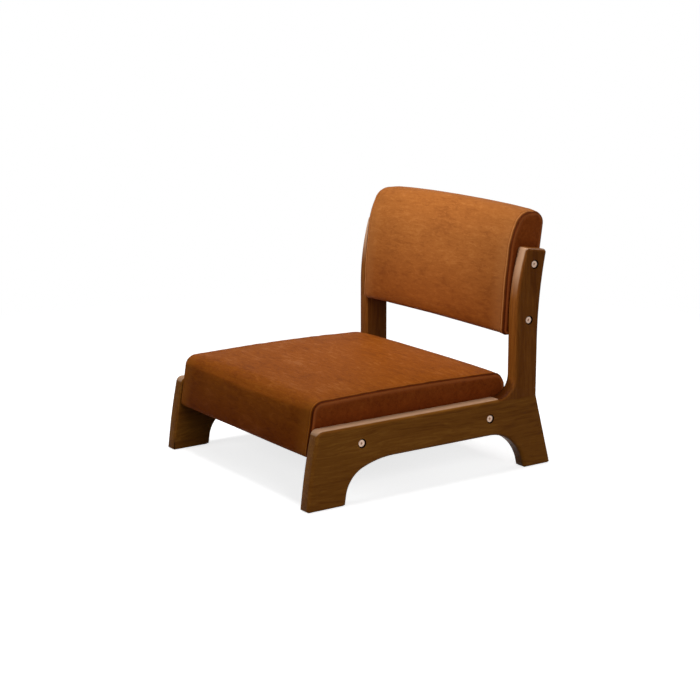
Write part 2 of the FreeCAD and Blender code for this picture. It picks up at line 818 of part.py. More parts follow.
def leaning_bar(name, front, rear, bottom, top, half_width):
    """Make a cross rail or panel of the back frame."""
    bar = padded_body(
        name, "YZ_Plane",
        lambda sketch: draw_rectangle(sketch, front, bottom, rear, top), half_width * 2)
    return lean(bar, -half_width)


def back_stile(side):
    """Make an upright of the back frame, bored for its two threaded inserts."""
    half = S.stile_depth / 2
    bottom = -S.stile_below_bolt
    stile = padded_body(
        f"back_{side}_stile", "YZ_Plane",
        lambda sketch: draw_rectangle(sketch, -half, bottom, half, STILE_ABOVE_BOLT),
        S.stile_width)
    bore_fixings(stile, side, S.stile_width, [(ZERO, ZERO), (ZERO, BACK_BOLT_PITCH)])
    start = RAIL_OUTER - S.stile_width if SIDES[side] > 0 else -RAIL_OUTER
    return lean(stile, start)


def back_foam():
    """Fill the back cover all round its timber frame."""
    front = S.stile_depth.value / 2 + S.front_panel_thickness.value
    depth = front + S.stile_depth.value / 2 + S.rear_panel_thickness.value
    width = S.overall_width.value
    corner = Vector(-width / 2, -front, -S.stile_below_bolt.value)
    space = Part.makeBox(width, depth, STILE_LENGTH.value, corner)
    turn = FreeCAD.Rotation(Vector(1, 0, 0), -S.back_lean.value)
    pivot = Vector(0, LOWER_BACK_BOLT[0].value, LOWER_BACK_BOLT[1].value)
    space.Placement = FreeCAD.Placement(pivot, turn).multiply(space.Placement)
    inner = cushion_solid(back_section, S.leather_thickness.value)
    return soft_piece("back_foam", inner.cut(space))


def backrest():
    half = S.stile_depth / 2
    bottom = -S.stile_below_bolt
    top = STILE_ABOVE_BOLT
    rail_span = RAIL_OUTER - S.stile_width
    return [
        soft_piece("back_cover", cover_shell(back_section)),
        side_panel("back_left_side_panel", back_section, "left", BACK_BOLTS),
        side_panel("back_right_side_panel", back_section, "right", BACK_BOLTS),
        back_foam(),
        back_stile("left"),
        back_stile("right"),
        leaning_bar("back_top_rail", -half, half, top - S.back_rail_height, top, rail_span),
        leaning_bar("back_bottom_rail", -half, half, bottom, bottom + S.back_rail_height,
                    rail_span),
        leaning_bar("back_front_panel", -half - S.front_panel_thickness, -half, bottom, top,
                    RAIL_OUTER),
        leaning_bar("back_rear_panel", half, half + S.rear_panel_thickness, bottom, top,
                    RAIL_OUTER),
    ]


def build():
    """Make every piece of the chair."""
    pieces = seat() + backrest()
    for side in SIDES:
        pieces += side_frame(side)
        pieces += foot_pads(side)
        pieces += fixings(side, "seat", SEAT_BOLTS)
        pieces += fixings(side, "back", BACK_BOLTS)
    return pieces


def export(pieces):
    """Check each object and write one file for each piece."""
    doc.recompute()
    failed = [item.Label for item in doc.Objects if {"Invalid", "Error"} & set(item.State)]
    if failed:
        raise RuntimeError(f"failed objects: {', '.join(failed)}")
    for piece in pieces:
        if piece.Shape.isNull() or not piece.Shape.isValid():
            raise RuntimeError(f"{piece.Label} has no valid shape")
    os.makedirs("parts", exist_ok=True)
    for piece in pieces:
        piece.Shape.exportStep(f"parts/{piece.Label}.step")


export(build())
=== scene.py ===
import math

import bmesh
import bpy
from bpy.props import FloatProperty, FloatVectorProperty, PointerProperty
from bpy.types import Operator, Panel, PropertyGroup
from mathutils import Matrix, Vector, noise
from mathutils.bvhtree import BVHTree
from mathutils.kdtree import KDTree


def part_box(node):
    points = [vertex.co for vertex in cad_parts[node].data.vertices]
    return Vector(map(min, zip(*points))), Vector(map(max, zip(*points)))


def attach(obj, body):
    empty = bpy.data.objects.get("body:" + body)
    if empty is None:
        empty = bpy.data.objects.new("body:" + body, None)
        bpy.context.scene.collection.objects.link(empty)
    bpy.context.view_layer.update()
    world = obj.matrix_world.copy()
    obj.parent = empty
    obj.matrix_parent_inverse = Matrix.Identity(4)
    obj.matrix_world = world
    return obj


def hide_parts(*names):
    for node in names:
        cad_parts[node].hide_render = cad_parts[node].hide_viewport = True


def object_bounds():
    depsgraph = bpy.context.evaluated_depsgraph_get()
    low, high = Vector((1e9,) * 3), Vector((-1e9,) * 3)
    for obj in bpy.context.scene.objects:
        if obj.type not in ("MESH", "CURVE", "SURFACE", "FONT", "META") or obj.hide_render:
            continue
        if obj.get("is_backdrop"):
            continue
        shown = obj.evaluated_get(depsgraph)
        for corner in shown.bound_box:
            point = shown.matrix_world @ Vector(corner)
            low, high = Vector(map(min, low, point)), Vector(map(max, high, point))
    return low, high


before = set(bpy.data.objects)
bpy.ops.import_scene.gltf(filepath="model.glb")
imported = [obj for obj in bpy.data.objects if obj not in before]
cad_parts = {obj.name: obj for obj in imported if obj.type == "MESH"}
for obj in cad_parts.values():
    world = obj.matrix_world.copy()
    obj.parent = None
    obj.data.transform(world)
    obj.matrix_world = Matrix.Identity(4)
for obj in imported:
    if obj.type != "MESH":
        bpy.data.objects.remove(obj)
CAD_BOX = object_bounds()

bl_info = {
    "name": "Floor chair",
    "version": (1, 0, 0),
    "blender": (4, 5, 0),
    "location": "View3D > Sidebar > Floor chair",
    "description": "Builds the finish of a low floor chair over its construction model",
    "category": "Object",
}

# Everything is in metres. The chair faces -Y, and +X is the sitter's left.
SIDES = {"left": 1, "right": -1}
WELD = 1e-6
# Faces that meet at less than this angle are one smooth surface
CREASE = math.radians(30)
# Neighbours in a flat side turn from each other by less than this angle
FLAT = math.radians(0.1)
# A face lies in a hole where it is at least this far behind its part's outer face
SKIN = 0.0002

# Turns that bring a board's grain, which runs along local X, across, along or up the chair
CROSSWAYS = (0, 0, 0)
LENGTHWAYS = (0, 0, math.radians(-90))
UPWARDS = (0, math.radians(90), 0)

# Where a pale highlight is painted on the timber: how far its surface looks up where that starts
# and where it is palest, then the same along the axis named, and the same out from the chair's
# middle
TIMBER_HIGHLIGHT = {
    "base_board": {"looks_up": (0.22, 0.50), "axis": "Y", "along": (0.150, 0.136),
                   "outward": (0.180, 0.200)},
    "upright": {"looks_up": (0.08, 0.24), "axis": "Z", "along": (0.200, 0.280),
                "outward": (0.200, 0.236)},
}


def length(name, description, default, low=0.0, high=2.0):
    """Describe one length in metres that a user may change."""
    return FloatProperty(name=name, description=description, default=default, min=low, max=high,
                         subtype="DISTANCE", unit="LENGTH", precision=5)


def share(name, description, default, high=1.0):
    """Describe one plain factor that a user may change."""
    return FloatProperty(name=name, description=description, default=default, min=0.0, max=high,
                         subtype="FACTOR", precision=3)


def colour(name, description, default):
    """Describe one colour, in linear light, that a user may change."""
    return FloatVectorProperty(name=name, description=description, default=default, size=3,
                               min=0.0, max=1.0, subtype="COLOR")


def angle(name, description, degrees):
    """Describe one angle that a user may change."""
    return FloatProperty(name=name, description=description, default=math.radians(degrees),
                         subtype="ANGLE", unit="ROTATION")


class LeatherSettings(PropertyGroup):
    """Colours and surface of the cushions' waxed leather."""

    seat: colour("Seat leather", "Main colour of the seat", (0.252, 0.062, 0.0040))
    # Painted sheen: the backrest's colour is the seat's leather made lighter and greyer, as where
    # more light falls
    back: colour("Back leather", "Main colour of the backrest", (0.292, 0.093, 0.018))
    # Painted shade: the end panels' colour is the leather made redder, as it looks in shade
    ends: colour("End panels", "Main colour of the end panels", (0.262, 0.055, 0.008))
    # Painted shade: how far the lower part of a cushion is painted darker, where less light falls
    # on it
    painted_low_shade: share("Burnish", "How far the lower part of a cushion is burnished dark", 1.0)
    thread: colour("Thread", "Colour of the stitching", (0.150, 0.036, 0.008))
    mottle: share("Mottle", "How far worn and waxed places differ", 0.31)
    back_mottle: share("Back mottle", "The same for the backrest", 0.24)
    roughness: share("Roughness", "Roughness of the leather", 0.60)
    specular: share("Gloss", "How strongly the leather reflects", 0.03)
    pore_size: length("Pore size", "Distance from pore to pore in the hide", 0.0011)
    pore_depth: length("Pore depth", "Height of the hide's grain", 0.00006)


class CushionSettings(PropertyGroup):
    """Sewing and filling of the cushions."""

    mesh_step: length("Mesh step", "Distance between the cover's mesh lines", 0.0065)
    swell: length("Swell", "Most that the filling pushes the cover out", 0.0016)
    pressure: FloatProperty(name="Pressure", description="Push of the filling on the cover",
                            default=4.0, min=0.0, max=20.0)
    panel_rise: length("Panel rise", "How far an end panel stands past the seam", 0.0011)
    panel_swell: length("Panel swell", "How far an end panel swells clear of the timber", 0.0028)
    seam_sink: length("Seam depth", "Depth of the sewn seam", 0.0024)
    ridge: length("Seam roll", "Height of the roll beside a seam", 0.0009)
    pucker: length("Pucker", "Height of the puckers beside a seam", 0.0009)
    stitch_line: length("Stitch line", "Distance of the topstitching from the seam", 0.0071)
    stitch_length: length("Stitch", "Length of one stitch", 0.0032)
    stitch_gap: length("Stitch gap", "Gap from stitch to stitch", 0.0010)
    thread_size: length("Thread", "Diameter of the thread", 0.0007)


class TimberSettings(PropertyGroup):
    """Colours and surface of the walnut side frames."""

    base_board: colour("Base boards", "Main colour of the base boards", (0.275, 0.098, 0.0125))
    upright: colour("Uprights", "Main colour of the uprights", (0.215, 0.065, 0.0085))
    # Painted shade: the dark colour laid inside the bolt holes
    bores: colour("Bores", "Bare timber inside the bolt holes", (0.030, 0.010, 0.003))
    figure: share("Figure", "How far light and dark bands differ", 0.34)
    roughness: share("Roughness", "Roughness of the lacquer", 0.38)
    specular: share("Gloss", "How strongly the lacquer reflects", 0.035)
    # Painted highlight: the pale colour laid on the timber's edges that face up, where the light
    # falls, and how far it shows
    pale: colour("Pale edges", "Worn lacquer on the edges that face up", (0.55, 0.33, 0.20))
    highlight_amount: share("Pale amount", "How far those edges are worn pale", 0.85)
    band: length("Band", "Width of one band of the figure", 0.0040)


class StageSettings(PropertyGroup):
    """Camera, floor and light."""

    camera_place: FloatVectorProperty(
        name="Camera", description="Where the camera stands", size=3, subtype="TRANSLATION",
        unit="LENGTH", default=(2.4067, -1.6643, 0.857))
    azimuth: angle("Azimuth", "Turn of the camera round the chair", 55.53)
    elevation: angle("Elevation", "Angle at which the camera looks down", 12.72)
    roll: angle("Roll", "Tilt of the camera about its line of sight", -0.10)
    lens: FloatProperty(name="Lens", description="Focal length on a 36 mm sensor in millimetres",
                        default=85.376, min=10, max=300)
    floor: colour("Floor", "Colour of the floor", (0.90, 0.90, 0.90))
    floor_bounce: colour("Floor bounce", "Light that the floor gives back", (0.06, 0.055, 0.05))
    floor_glow: share("Floor glow", "Lift of the floor's shadows in the picture", 0.74)
    ambient: share("Ambient", "Strength of the light from all round", 0.06, high=5.0)


SETTINGS = {
    "chair_leather": LeatherSettings,
    "chair_cushions": CushionSettings,
    "chair_timber": TimberSettings,
    "chair_stage": StageSettings,
}


def set_all(thing, settings):
    for key, value in settings.items():
        setattr(thing, key, value)


# Node graphs

class Graph:
    """Adds and joins the nodes of one material, world or group."""

    def __init__(self, tree):
        self.tree = tree

    def node(self, kind, inputs=(), **settings):
        made = self.tree.nodes.new(kind)
        set_all(made, settings)
        return self.fed(made, inputs)

    def fed(self, node, inputs):
        """Join or set some of a node's inputs, by name or number, and give the node."""
        for key, value in dict(inputs).items():
            self.feed(node.inputs[key], value)
        return node

    def feed(self, socket, value):
        """Join a socket to another node's output, or set it."""
        if isinstance(value, bpy.types.NodeSocket):
            self.tree.links.new(value, socket)
            return
        values = tuple(value) if hasattr(value, "__len__") else value
        if socket.type == "RGBA" and len(values) == 3:
            values = (*values, 1.0)
        socket.default_value = values

    def place(self):
        return self.node("ShaderNodeTexCoord").outputs["Object"]

    def axes(self):
        return self.node("ShaderNodeSeparateXYZ", {"Vector": self.place()}).outputs

    def mapped(self, vector, **inputs):
        return self.node("ShaderNodeMapping", {"Vector": vector, **inputs}).outputs["Vector"]

    def noise(self, vector, marks, detail, roughness, distortion):
        """Make a pattern with so many marks in a metre along each axis."""
        inputs = {"Vector": self.mapped(vector, Scale=marks), "Scale": 1.0, "Detail": detail,
                  "Roughness": roughness, "Distortion": distortion}
        return self.node("ShaderNodeTexNoise", inputs).outputs["Fac"]

    def maths(self, operation, first, second=0.0, clamp=False):
        return self.node("ShaderNodeMath", {0: first, 1: second}, operation=operation,
                         use_clamp=clamp).outputs[0]

    def times(self, first, second, clamp=False):
        return self.maths("MULTIPLY", first, second, clamp)

    def shared(self, share_of_first, first, second):
        """Add two patterns in shares that make one."""
        return self.maths("ADD", self.times(first, share_of_first),
                          self.times(second, 1 - share_of_first))

    def spread(self, value, low, high, to_low=0.0, to_high=1.0):
        """Map a range of values to another, smoothly at both ends."""
        inputs = enumerate((value, low, high, to_low, to_high))
        return self.node("ShaderNodeMapRange", inputs, interpolation_type="SMOOTHSTEP").outputs[0]

    def mix(self, amount, first, second, blend="MIX"):
        made = self.node("ShaderNodeMix", data_type="RGBA", blend_type=blend)
        for key, value in (("Factor_Float", amount), ("A_Color", first), ("B_Color", second)):
            socket = next(item for item in made.inputs if item.identifier == key)
            self.feed(socket, value)
        return next(item for item in made.outputs if item.identifier == "Result_Color")

    def multiplied(self, tone, factors):
        return self.mix(1.0, tone, factors, "MULTIPLY")

    def bump(self, height, distance):
        inputs = {"Height": height, "Distance": distance, "Strength": 1.0}
        return self.node("ShaderNodeBump", inputs).outputs["Normal"]

    def attribute(self, name):
        return self.node("ShaderNodeAttribute", attribute_name=name).outputs["Fac"]


def new_group(name, inputs, outputs):
    """Make an empty shader group, and give its graph, its inputs and its output node."""
    kinds = {"value": "NodeSocketFloat", "colour": "NodeSocketColor", "vector": "NodeSocketVector"}
    tree = bpy.data.node_groups.new(name, "ShaderNodeTree")
    for socket, kind in inputs.items():
        tree.interface.new_socket(name=socket, in_out="INPUT", socket_type=kinds[kind])
    for socket, kind in outputs.items():
        tree.interface.new_socket(name=socket, in_out="OUTPUT", socket_type=kinds[kind])
    graph = Graph(tree)
    given = graph.node("NodeGroupInput").outputs
    return graph, given, graph.node("NodeGroupOutput").inputs


# What both groups take in
CASTS = {"Vector": "vector", "Main": "colour", "Light": "colour", "Dark": "colour"}
# Patterns: marks in a metre along X, Y and Z, then the noise's detail, roughness and distortion
CLOUDS = ((11, 11, 11), 4.0, 0.60, 0.4)
STREAKS = ((34, 120, 120), 5.0, 0.66, 0.9)
SCUFFS = ((85, 330, 330), 3.0, 0.60, 1.2)
SWAY = ((3.2, 11, 11), 3.0, 0.50, 0.0)
BROAD_BANDS = ((3, 38, 38), 2.0, 0.50, 0.0)
FIBRES = ((38, 1500, 1500), 2.0, 0.50, 0.0)
PORES = ((95, 2100, 2100), 1.0, 0.40, 0.0)
TOOL_MARKS = ((900, 240, 240), 3.0, 0.60, 0.0)
# Where a pattern starts to turn and has turned, and for some how far its tone shows at each end
WAXED = (0.36, 0.50, 0.1, 1.0)
RUB = (0.50, 0.65)
PALE_SCUFFS = (0.54, 0.70, 0.0, 0.7)
DARK_SCUFFS = (0.30, 0.46, 0.6, 0.0)
PORE_CREASES = (0.0, 0.22)
DARK_BANDS = (0.36, 0.50)
LIGHT_BANDS = (0.50, 0.64)
DARK_FIBRES = (0.35, 0.65, 0.30, 0.0)
OPEN_PORES = (0.60, 0.68)
# Shares: clouds beside streaks, creases beside scuffs, and narrow beside broad bands
CLOUD_SHARE = 0.40
CREASE_SHARE = 0.55
NARROW_SHARE = 0.55
# How far rubbed places show, open pores are dark and fibres stand up beside the pores' depth
RUB_AMOUNT = 0.95
PORE_DARK = 0.6
FIBRE_HEIGHT = 0.25


def hide_group():
    """Group for the mottle, brushed streaks and pores of a waxed hide."""
    name = "hide"
    if name in bpy.data.node_groups:
        return bpy.data.node_groups[name]
    graph, given, out = new_group(name, {**CASTS, "Pore scale": "value"},
                                  {"Color": "colour", "Rub": "value", "Height": "value"})
    vector = given["Vector"]
    scuffs = graph.noise(vector, *SCUFFS)
    lift = graph.shared(CLOUD_SHARE, graph.noise(vector, *CLOUDS), graph.noise(vector, *STREAKS))
    tone = graph.mix(graph.spread(lift, *WAXED), given["Dark"], given["Main"])
    rub = graph.spread(lift, *RUB)
    tone = graph.mix(graph.times(rub, RUB_AMOUNT), tone, given["Light"])
    tone = graph.mix(graph.spread(scuffs, *PALE_SCUFFS), tone, given["Light"])
    tone = graph.mix(graph.spread(scuffs, *DARK_SCUFFS), tone, given["Dark"])
    pores = graph.node("ShaderNodeTexVoronoi", {"Vector": vector, "Scale": given["Pore scale"],
                                                "Randomness": 0.9}, feature="DISTANCE_TO_EDGE")
    creases = graph.spread(pores.outputs["Distance"], *PORE_CREASES)
    graph.feed(out["Color"], tone)
    graph.feed(out["Rub"], rub)
    graph.feed(out["Height"], graph.shared(CREASE_SHARE, creases, scuffs))
    return graph.tree


# How far a board's bands sway, how many there are in a metre along the grain, and their detail,
# roughness and distortion
SWAY_WIDTH = 0.06
BANDS_ALONG = 14.0
NARROW_BANDS = (3.0, 0.55, 0.3)


def figure_group():
    """Group for timber whose grain runs along the local X axis."""
    name = "timber_figure"
    if name in bpy.data.node_groups:
        return bpy.data.node_groups[name]
    graph, given, out = new_group(name, {**CASTS, "Band": "value"},
                                  {"Color": "colour", "Pores": "value", "Height": "value"})
    vector = given["Vector"]
    moved = graph.times(graph.maths("SUBTRACT", graph.noise(vector, *SWAY), 0.5), SWAY_WIDTH)
    shift = graph.node("ShaderNodeCombineXYZ", {"Y": moved, "Z": moved}).outputs[0]
    swayed = graph.node("ShaderNodeVectorMath", {0: vector, 1: shift}, operation="ADD").outputs[0]
    across = graph.maths("DIVIDE", 1.0, given["Band"])
    marks = graph.node("ShaderNodeCombineXYZ", {"X": BANDS_ALONG, "Y": across, "Z": across})
    bands = graph.noise(swayed, marks.outputs[0], *NARROW_BANDS)
    figure = graph.shared(NARROW_SHARE, bands, graph.noise(swayed, *BROAD_BANDS))
    fibres = graph.noise(vector, *FIBRES)
    pores = graph.spread(graph.noise(vector, *PORES), *OPEN_PORES)
    tone = graph.mix(graph.spread(figure, *DARK_BANDS), given["Dark"], given["Main"])
    tone = graph.mix(graph.spread(figure, *LIGHT_BANDS), tone, given["Light"])
    tone = graph.mix(graph.spread(fibres, *DARK_FIBRES), tone, given["Dark"])
    tone = graph.mix(graph.times(pores, PORE_DARK), tone, given["Dark"])
    graph.feed(out["Color"], tone)
    graph.feed(out["Pores"], pores)
    graph.feed(out["Height"], graph.maths("SUBTRACT", graph.times(fibres, FIBRE_HEIGHT), pores))
    return graph.tree


def new_material(name):
    """Make a material, and give it with its graph and its Principled shader."""
    material = bpy.data.materials.new(name)
    material.use_nodes = True
    graph = Graph(material.node_tree)
    shader = material.node_tree.nodes["Principled BSDF"]
    return material, graph, shader


def grouped(graph, tree, inputs):
    return graph.node("ShaderNodeGroup", inputs, node_tree=tree).outputs


# How much more a light cast of a colour gains in red, green and blue, and a dark one loses
PALER = (0.9, 1.3, 1.9)
DEEPER = (0.9, 1.15, 1.3)


def tinted(main, factors):
    """Multiply the red, green and blue of a colour each by its own factor."""
    return tuple(part * factor for part, factor in zip(main, factors))


def tones(main, spread):
    """Work out the lighter and darker casts of a colour, which are paler and deeper too."""
    paler = tinted(main, [1 + spread * lift for lift in PALER])
    deeper = tinted(main, [1 - spread * drop for drop in DEEPER])
    return {"Main": tuple(main), "Light": paler, "Dark": deeper}


# What leather's colour is multiplied by where a highlight is painted on it, where shade is painted
# on its lower part, and where shade is painted deep in a seam, and how far that last shade shows
LEATHER_HIGHLIGHT = (1.6, 2.1, 3.6)
LOW_SHADE_TINT = (0.74, 0.58, 0.40)
SEAM_SHADE = (0.30, 0.16, 0.12)
SEAM_AMOUNT = 0.9
# How much of a cushion's height has shade painted on it, from its lower edge up
LOW_SHADE_REACH = 0.75
# How much waxed leather is rougher than its setting says, and rubbed leather smoother
RUB_ROUGHNESS = (0.05, -0.07)


def leather(name, settings, colour_name, mottle, low, high):
    """Waxed leather, with shade painted on from its low to its high edge, shade painted in the
    seams and highlights painted beside them.
    """
    material, graph, shader = new_material(name)
    casts = tones(getattr(settings, colour_name), mottle)
    hide = grouped(graph, hide_group(), {
        **casts, "Vector": graph.place(), "Pore scale": 1.0 / settings.pore_size})
    seam = graph.attribute("seam")
    # Painted shade, darkest at the cushion's lower edge and gone higher up
    lower = graph.spread(graph.axes()["Z"], low, low + LOW_SHADE_REACH * (high - low),
                         settings.painted_low_shade, 0.0)
    shade = graph.mix(lower, hide["Color"], graph.multiplied(hide["Color"], LOW_SHADE_TINT))
    # Painted highlight where the seam note is below none: the rolls beside the seams and the front
    # corners
    shade = graph.mix(graph.times(seam, -1.0, clamp=True), shade, tinted(casts["Main"], LEATHER_HIGHLIGHT))
    # Painted shade deep in the seams and where the end panels lie close to the timber
    shade = graph.mix(graph.times(seam, SEAM_AMOUNT, clamp=True), shade,
                      tinted(casts["Dark"], SEAM_SHADE))
    roughness = [settings.roughness + change for change in RUB_ROUGHNESS]
    graph.fed(shader, {
        "Base Color": shade,
        "Roughness": graph.spread(hide["Rub"], 0.0, 1.0, *roughness),
        "Specular IOR Level": settings.specular,
        "Normal": graph.bump(hide["Height"], settings.pore_depth)})
    return material


def highlight_share(graph, part, amount):
    """Work out how far a pale highlight is painted on a board, from where its surface looks up."""
    painted = TIMBER_HIGHLIGHT[part]
    place = graph.axes()
    share_up = graph.spread(graph.attribute("upward"), *painted["looks_up"], 0.0, amount)
    share_along = graph.spread(place[painted["axis"]], *painted["along"])
    share_out = graph.spread(graph.maths("ABSOLUTE", place["X"]), *painted["outward"])
    return graph.times(share_up, graph.times(share_along, share_out))


# Painted shade in the hollow of an upright's neck: the height below which it starts and the one
# where it is full, the same for how far its surface looks up, and what multiplies its colour
NECK_HEIGHT = (0.175, 0.135)
NECK_LOOKS_UP = (0.05, 0.40)
NECK_SHADE = (0.40, 0.30, 0.28)


def neck_shade_share(graph):
    """Work out how far shade is painted into the hollow of an upright's neck."""
    low = graph.spread(graph.axes()["Z"], *NECK_HEIGHT)
    return graph.times(low, graph.spread(graph.attribute("upward"), *NECK_LOOKS_UP))


# How much rougher an open pore is than the lacquer round it, and how deep the pores are
PORE_ROUGHNESS = 0.2
TIMBER_DEPTH = 0.00005


def timber(name, main, spread, band, turn, roughness, specular, painted=None):
    """Timber whose grain runs along the axis that the turn brings to X.

    A part with a painted highlight gives its name, the highlight's pale colour, and how far that
    shows.
    """
    material, graph, shader = new_material(name)
    along = graph.mapped(graph.place(), Rotation=turn)
    figure = grouped(graph, figure_group(), {
        **tones(main, spread), "Vector": along, "Band": band})
    tone = figure["Color"]
    if painted is not None:
        # Painted highlight, pale where the board looks up towards the light
        part, pale, amount = painted
        tone = graph.mix(highlight_share(graph, part, amount), tone, pale)
        if part == "upright":
            # Painted shade in the hollow of the neck
            tone = graph.mix(neck_shade_share(graph), tone, graph.multiplied(tone, NECK_SHADE))
    pores = figure["Pores"]
    graph.fed(shader, {
        "Base Color": tone,
        "Roughness": graph.spread(pores, 0.0, 1.0, roughness, roughness + PORE_ROUGHNESS),
        "Specular IOR Level": specular,
        "Normal": graph.bump(figure["Height"], TIMBER_DEPTH)})
    return material


# Tool marks: where they turn, how much darker, smoother and rougher they are, and their depth
MARKS_FROM_TO = (0.3, 0.7)
MARKS_DARK = (0.82, 0.82, 0.82)
MARKS_ROUGHNESS = (-0.06, 0.08)
MARKS_DEPTH = 0.00001


def metal(name, tint, roughness):
    """Turned metal with fine tool marks about the X axis."""
    material, graph, shader = new_material(name)
    marks = graph.noise(graph.place(), *TOOL_MARKS)
    dark = graph.spread(marks, *MARKS_FROM_TO)
    rough = [roughness + change for change in MARKS_ROUGHNESS]
    graph.fed(shader, {
        "Base Color": graph.mix(dark, tint, tinted(tint, MARKS_DARK)),
        "Roughness": graph.spread(marks, *MARKS_FROM_TO, *rough),
        "Normal": graph.bump(marks, MARKS_DEPTH)})
    shader.inputs["Metallic"].default_value = 1.0
    return material


# Fibres of cloth: the noise's detail, roughness and distortion, where they turn from the tint to
# the lighter one, how much lighter that is, and how rough they are
MATTED = (4.0, 0.7, 1.2)
LIGHT_FIBRES = (0.35, 0.7)
FIBRE_LIGHT = 1.9
FIBRE_ROUGHNESS = (0.3, 0.7, 0.86, 0.96)


def cloth(name, tint, fibre):
    """Matted fibres, as in felt or non-woven cloth."""
    material, graph, shader = new_material(name)
    fibres = graph.noise(graph.place(), (1.0 / fibre,) * 3, *MATTED)
    lighter = tuple(min(1.0, FIBRE_LIGHT * part) for part in tint)
    graph.fed(shader, {
        "Base Color": graph.mix(graph.spread(fibres, *LIGHT_FIBRES), tint, lighter),
        "Roughness": graph.spread(fibres, *FIBRE_ROUGHNESS),
        "Normal": graph.bump(fibres, fibre / 4)})
    shader.inputs["Specular IOR Level"].default_value = 0.2
    return material


# Meshes

def put_in_scene(name, data):
    made = bpy.data.objects.new(name, data)
    bpy.context.scene.collection.objects.link(made)
    return made


def mesh_object(name, mesh, materials):
    """Put a finished bmesh in the scene with its materials."""
    data = bpy.data.meshes.new(name)
    mesh.to_mesh(data)
    mesh.free()
    for material in materials:
        data.materials.append(material)
    return put_in_scene(name, data)


def add_piece(name, mesh, materials):
    """Put a finished bmesh in the scene, smooth and riding on the chair."""
    piece = mesh_object(name, mesh, materials)
    piece.data.shade_smooth()
    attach(piece, "root")
    return piece


def welded(node):
    """Copy a construction node's mesh with its loose triangles joined."""
    mesh = bmesh.new()
    mesh.from_mesh(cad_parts[node].data)
    bmesh.ops.remove_doubles(mesh, verts=mesh.verts, dist=WELD)
    return mesh


def surface_of(*nodes):
    """Make the faces of some construction nodes searchable."""
    mesh = bmesh.new()
    for node in nodes:
        mesh.from_mesh(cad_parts[node].data)
    surface = BVHTree.FromBMesh(mesh)
    mesh.free()
    return surface


def whole_sides(mesh):
    """Join the triangles of a board's flat sides, so that its bolt holes don't crease them."""
    mesh.normal_update()
    flat = [edge for edge in mesh.edges
            if len(edge.link_faces) == 2
            and all(abs(face.normal.x) > 1 - WELD for face in edge.link_faces)]
    bmesh.ops.dissolve_limit(mesh, angle_limit=FLAT, verts=[], edges=flat)


# How much large faces outweigh small ones in the shading, from 0 to 100
FACE_WEIGHT = 60


def polished_copy(mesh, node, name, materials):
    """Stand a smooth-shaded copy in a node's place."""
    piece = add_piece(name, mesh, materials)
    piece.data.set_sharp_from_angle(angle=CREASE)
    weighted = piece.modifiers.new("face weights", "WEIGHTED_NORMAL")
    weighted.keep_sharp = True
    weighted.weight = FACE_WEIGHT
    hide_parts(node)
    return piece


def mark_bores(mesh, box, bolts, reach=0.003):
    """Give the faces inside the bolt holes the second material, their painted shade."""
    near = surface_of(bolts)
    low, high = box
    for face in mesh.faces:
        middle = face.calc_center_median()
        inside = low.x + SKIN < middle.x < high.x - SKIN
        if inside and near.find_nearest(middle, reach)[0] is not None:
            face.material_index = 1


# Upward part of a normal from which an upright's top is its end grain, the range below that over
# which the grain's end fades out, and how far down that top reaches
END_GRAIN = 0.95
END_GRAIN_FADE = 0.3
END_GRAIN_REACH = 0.030


def mark_upward(mesh, end_grain_from):
    """Note for each corner of each face how far the smooth surface there looks up.

    It counts less towards the board's sides, and not at all on level end grain.
    """
    upward = mesh.loops.layers.float.new("upward")
    mesh.normal_update()
    least = math.cos(CREASE)
    for face in mesh.faces:
        for corner in face.loops:
            normal = Vector()
            for near in corner.vert.link_faces:
                if near.normal.dot(face.normal) > least:
                    normal += near.normal * near.calc_area()
            normal.normalize()
            looks_up = max(0.0, normal.z) * (1 - abs(normal.x))
            if corner.vert.co.z > end_grain_from:
                looks_up *= min(1.0, max(0.0, (END_GRAIN - normal.z) / END_GRAIN_FADE))
            corner[upward] = looks_up


def loose_parts(mesh):
    """Give the faces of each loose part of a mesh."""
    unseen = set(mesh.faces)
    while unseen:
        part = set()
        border = {unseen.pop()}
        while border:
            part |= border
            border = {near for face in border for edge in face.edges
                      for near in edge.link_faces} & unseen
            unseen -= border
        yield part


def mark_sockets(mesh, radius=0.0034, depth=0.0045):
    """Give the faces inside each bolt head's socket the second material."""
    for part in loose_parts(mesh):
        places = [vert.co for face in part for vert in face.verts]
        outer = max(abs(place.x) for place in places)
        ys, zs = ([place[axis] for place in places] for axis in (1, 2))
        axis = Vector(((min(ys) + max(ys)) / 2, (min(zs) + max(zs)) / 2))
        for face in part:
            middle = face.calc_center_median()
            sunk = outer - abs(middle.x)
            if SKIN < sunk < depth and (middle.yz - axis).length < radius:
                face.material_index = 1


def finish(material, *nodes):
    """Give construction nodes that stay in view their material."""
    for node in nodes:
        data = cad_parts[node].data
        data.materials.clear()
        data.materials.append(material)


def longest_loop(edges):
    """Walk loose edges into closed loops of vertices, and give the longest."""
    unused = dict.fromkeys(edges)
    loops = []
    while unused:
        first = next(iter(unused))
        del unused[first]
        loop = [first.verts[0], first.verts[1]]
        while True:
            step = next((edge for edge in loop[-1].link_edges if edge in unused), None)
            if step is None:
                break
            del unused[step]
            loop.append(step.other_vert(loop[-1]))
        loops.append(loop[:-1])
    return max(loops, key=len)


def seam_outline(panel):
    """Give the outline of a left end panel's outer face as points (y, z)."""
    mesh = welded(panel)
    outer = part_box(panel)[1].x
    faces = {face for face in mesh.faces if all(outer - v.co.x < WELD for v in face.verts)}
    rim = [edge for edge in mesh.edges if sum(face in faces for face in edge.link_faces) == 1]
    points = [(vert.co.y, vert.co.z) for vert in longest_loop(rim)]
    mesh.free()
    return points


